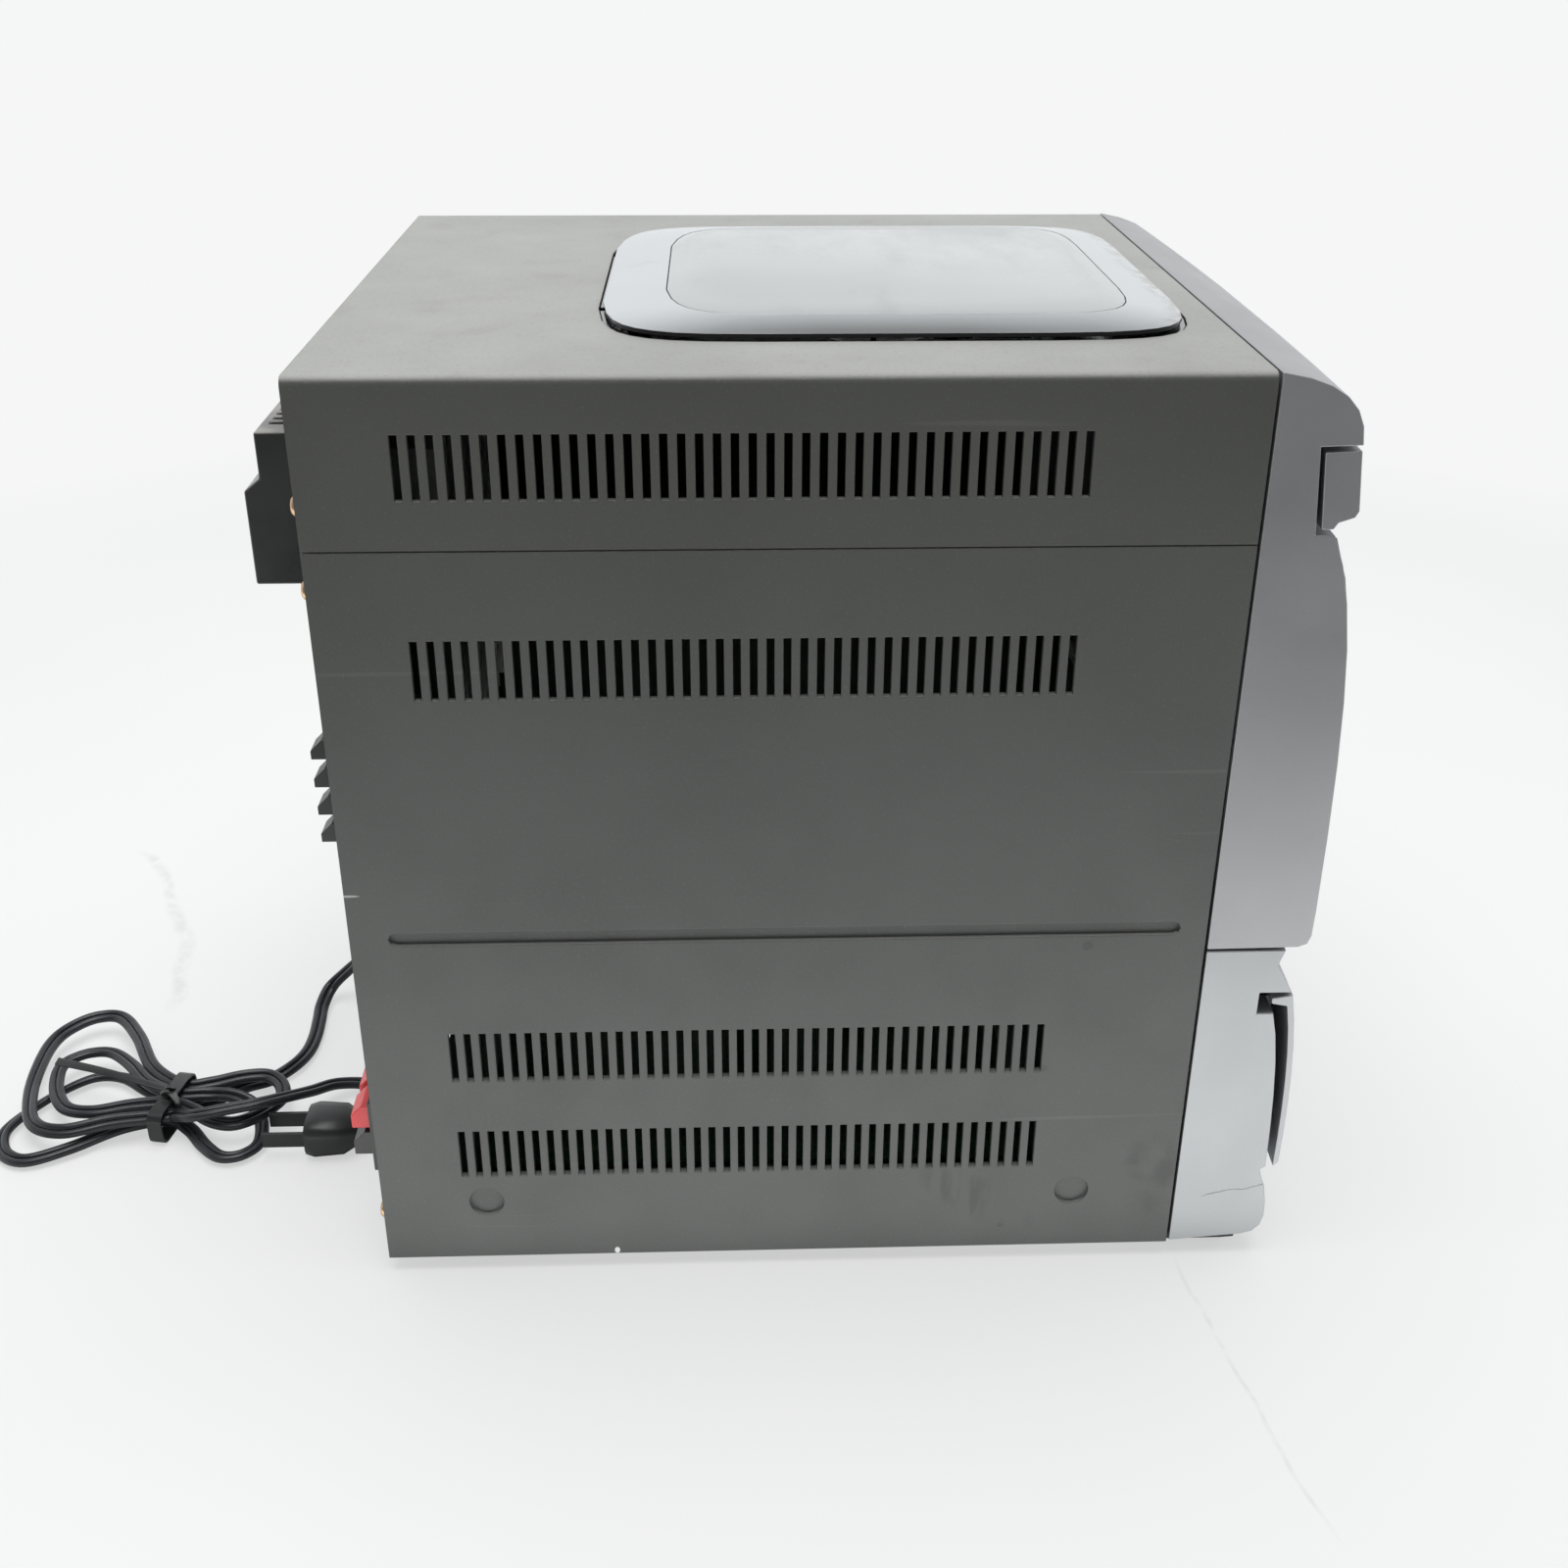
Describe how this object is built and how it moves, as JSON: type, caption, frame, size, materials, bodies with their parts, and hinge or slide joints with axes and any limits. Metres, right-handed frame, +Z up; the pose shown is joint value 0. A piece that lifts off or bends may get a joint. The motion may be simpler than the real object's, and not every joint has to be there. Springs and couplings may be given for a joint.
{
  "type": "mini hi-fi system",
  "caption": "Upright mini hi-fi main unit with a top-loading disc lid, cassette doors, volume knob, rear clip terminals and a bundled mains cord.",
  "frame": {"origin": "on the floor, under the middle of the unit without its cord", "axes": "+Z up, the front with the cassette doors faces -Y, +X to the right seen from the front"},
  "size_m": [0.2636, 0.4939, 0.3247],
  "materials": {
    "case_plastic": "textured dark grey moulded plastic",
    "upper_silver": "dark silver paint on moulded plastic, satin",
    "lower_silver": "light silver paint on moulded plastic, satin",
    "lid_silver": "light silver paint, satin",
    "lid_clear": "smoky clear plastic, smudged",
    "black_plastic": "black moulded plastic, half gloss",
    "red_plastic": "red moulded plastic",
    "lens_plastic": "dark tinted clear plastic, glossy",
    "steel": "plated sheet steel",
    "aluminium": "extruded",
    "board_green": "circuit board with solder mask",
    "cord_black": "black PVC, slightly glossy"
  },
  "bodies": {
    "case": {"top_cover": "case_plastic", "left_side_panel": "case_plastic", "right_side_panel": "case_plastic", "back_panel": "case_plastic", "bottom_plate": "steel", "front_left_foot": "black_plastic", "front_right_foot": "black_plastic", "rear_left_foot": "black_plastic", "rear_right_foot": "black_plastic", "heat_sink_cover": "black_plastic", "heat_sink": "aluminium", "main_board": "board_green", "power_transformer": "steel", "control_board": "board_green", "left_tape_mechanism": "steel", "right_tape_mechanism": "steel", "cd_mechanism": "steel", "cd_well": "black_plastic", "lid_hinge_pin": "steel", "upper_fascia": "upper_silver", "lower_fascia": "lower_silver", "display_lens": "lens_plastic", "antenna_terminal_block": "black_plastic", "speaker_terminal_block": "black_plastic", "cord_strain_relief": "black_plastic", "mains_cord": "cord_black", "cord_hank": "cord_black", "plug_lead": "cord_black", "cord_tie": "black_plastic", "mains_plug": "black_plastic"},
    "lid": {"cd_lid": "lid_silver", "lid_window": "lid_clear"},
    "turntable": {"disc_turntable": "black_plastic"},
    "sled": {"laser_sled": "black_plastic"},
    "knob": {"volume_knob": "lower_silver"},
    "power_key": {"power_button": "lower_silver"},
    "function_key_1_body": {"function_key_1": "upper_silver"},
    "function_key_2_body": {"function_key_2": "upper_silver"},
    "function_key_3_body": {"function_key_3": "upper_silver"},
    "function_key_4_body": {"function_key_4": "upper_silver"},
    "function_key_5_body": {"function_key_5": "upper_silver"},
    "play_key_1_body": {"play_key_1": "lower_silver"},
    "play_key_2_body": {"play_key_2": "lower_silver"},
    "play_key_3_body": {"play_key_3": "lower_silver"},
    "left_door": {"left_cassette_door": "lower_silver", "left_cassette_holder": "black_plastic"},
    "left_supply_reel": {"left_supply_hub": "black_plastic"},
    "left_take_up_reel": {"left_take_up_hub": "black_plastic"},
    "right_door": {"right_cassette_door": "lower_silver", "right_cassette_holder": "black_plastic"},
    "right_supply_reel": {"right_supply_hub": "black_plastic"},
    "right_take_up_reel": {"right_take_up_hub": "black_plastic"},
    "antenna_clip_1": {"antenna_lever_1": "black_plastic"},
    "antenna_clip_2": {"antenna_lever_2": "black_plastic"},
    "antenna_clip_3": {"antenna_lever_3": "black_plastic"},
    "antenna_clip_4": {"antenna_lever_4": "black_plastic"},
    "speaker_clip_1": {"speaker_lever_1": "red_plastic"},
    "speaker_clip_2": {"speaker_lever_2": "red_plastic"},
    "speaker_clip_3": {"speaker_lever_3": "black_plastic"},
    "speaker_clip_4": {"speaker_lever_4": "black_plastic"}
  },
  "joints": [
    {"name": "lid_hinge", "type": "hinge", "parent": "case", "child": "lid", "pos_m": [0, 0.0804, 0.3063], "axis": [-1, 0, 0], "range_deg": [0, 50]},
    {"name": "turntable_spin", "type": "hinge", "parent": "case", "child": "turntable", "pos_m": [0, -0.021, 0.2993], "axis": [0, 0, 1], "continuous": true},
    {"name": "sled_slide", "type": "slide", "parent": "case", "child": "sled", "axis": [0, -1, 0], "range_m": [0, 0.019]},
    {"name": "knob_spin", "type": "hinge", "parent": "case", "child": "knob", "pos_m": [0.078, -0.1536, 0.176], "axis": [0, -1, 0], "continuous": true},
    {"name": "power_key_press", "type": "slide", "parent": "case", "child": "power_key", "axis": [0, 1, 0], "range_m": [0, 0.001], "stiffness_N_per_m": 400, "springref_m": -0.0005},
    {"name": "function_key_1_press", "type": "slide", "parent": "case", "child": "function_key_1_body", "axis": [0, 1, 0], "range_m": [0, 0.0012], "stiffness_N_per_m": 400, "springref_m": -0.0005},
    {"name": "function_key_2_press", "type": "slide", "parent": "case", "child": "function_key_2_body", "axis": [0, 1, 0], "range_m": [0, 0.0012], "stiffness_N_per_m": 400, "springref_m": -0.0005},
    {"name": "function_key_3_press", "type": "slide", "parent": "case", "child": "function_key_3_body", "axis": [0, 1, 0], "range_m": [0, 0.0012], "stiffness_N_per_m": 400, "springref_m": -0.0005},
    {"name": "function_key_4_press", "type": "slide", "parent": "case", "child": "function_key_4_body", "axis": [0, 1, 0], "range_m": [0, 0.0012], "stiffness_N_per_m": 400, "springref_m": -0.0005},
    {"name": "function_key_5_press", "type": "slide", "parent": "case", "child": "function_key_5_body", "axis": [0, 1, 0], "range_m": [0, 0.0012], "stiffness_N_per_m": 400, "springref_m": -0.0005},
    {"name": "play_key_1_press", "type": "slide", "parent": "case", "child": "play_key_1_body", "axis": [0, 1, 0], "range_m": [0, 0.001], "stiffness_N_per_m": 400, "springref_m": -0.0005},
    {"name": "play_key_2_press", "type": "slide", "parent": "case", "child": "play_key_2_body", "axis": [0, 1, 0], "range_m": [0, 0.001], "stiffness_N_per_m": 400, "springref_m": -0.0005},
    {"name": "play_key_3_press", "type": "slide", "parent": "case", "child": "play_key_3_body", "axis": [0, 1, 0], "range_m": [0, 0.001], "stiffness_N_per_m": 400, "springref_m": -0.0005},
    {"name": "left_door_hinge", "type": "hinge", "parent": "case", "child": "left_door", "pos_m": [-0.0659, -0.1481, 0.0424], "axis": [1, 0, 0], "range_deg": [-3, 25]},
    {"name": "left_supply_spin", "type": "hinge", "parent": "case", "child": "left_supply_reel", "pos_m": [-0.08715, -0.1336, 0.072], "axis": [0, -1, 0], "continuous": true},
    {"name": "left_take_up_spin", "type": "hinge", "parent": "case", "child": "left_take_up_reel", "pos_m": [-0.04465, -0.1336, 0.072], "axis": [0, -1, 0], "continuous": true},
    {"name": "right_door_hinge", "type": "hinge", "parent": "case", "child": "right_door", "pos_m": [0.0659, -0.1481, 0.0424], "axis": [1, 0, 0], "range_deg": [-3, 25]},
    {"name": "right_supply_spin", "type": "hinge", "parent": "case", "child": "right_supply_reel", "pos_m": [0.04465, -0.1336, 0.072], "axis": [0, -1, 0], "continuous": true},
    {"name": "right_take_up_spin", "type": "hinge", "parent": "case", "child": "right_take_up_reel", "pos_m": [0.08715, -0.1336, 0.072], "axis": [0, -1, 0], "continuous": true},
    {"name": "antenna_clip_1_hinge", "type": "hinge", "parent": "case", "child": "antenna_clip_1", "pos_m": [-0.1125, 0.1559, 0.1955], "axis": [1, 0, 0], "range_deg": [0, 15], "stiffness_Nm_per_rad": 0.05, "springref_deg": -5.73},
    {"name": "antenna_clip_2_hinge", "type": "hinge", "parent": "case", "child": "antenna_clip_2", "pos_m": [-0.1125, 0.1559, 0.1857], "axis": [1, 0, 0], "range_deg": [0, 15], "stiffness_Nm_per_rad": 0.05, "springref_deg": -5.73},
    {"name": "antenna_clip_3_hinge", "type": "hinge", "parent": "case", "child": "antenna_clip_3", "pos_m": [-0.1125, 0.1559, 0.1759], "axis": [1, 0, 0], "range_deg": [0, 15], "stiffness_Nm_per_rad": 0.05, "springref_deg": -5.73},
    {"name": "antenna_clip_4_hinge", "type": "hinge", "parent": "case", "child": "antenna_clip_4", "pos_m": [-0.1125, 0.1559, 0.1661], "axis": [1, 0, 0], "range_deg": [0, 15], "stiffness_Nm_per_rad": 0.05, "springref_deg": -5.73},
    {"name": "speaker_clip_1_hinge", "type": "hinge", "parent": "case", "child": "speaker_clip_1", "pos_m": [-0.1165, 0.1559, 0.0561], "axis": [1, 0, 0], "range_deg": [0, 15], "stiffness_Nm_per_rad": 0.05, "springref_deg": -5.73},
    {"name": "speaker_clip_2_hinge", "type": "hinge", "parent": "case", "child": "speaker_clip_2", "pos_m": [-0.1, 0.1559, 0.0561], "axis": [1, 0, 0], "range_deg": [0, 15], "stiffness_Nm_per_rad": 0.05, "springref_deg": -5.73},
    {"name": "speaker_clip_3_hinge", "type": "hinge", "parent": "case", "child": "speaker_clip_3", "pos_m": [-0.1165, 0.1559, 0.0449], "axis": [1, 0, 0], "range_deg": [0, 15], "stiffness_Nm_per_rad": 0.05, "springref_deg": -5.73},
    {"name": "speaker_clip_4_hinge", "type": "hinge", "parent": "case", "child": "speaker_clip_4", "pos_m": [-0.1, 0.1559, 0.0449], "axis": [1, 0, 0], "range_deg": [0, 15], "stiffness_Nm_per_rad": 0.05, "springref_deg": -5.73}
  ]
}
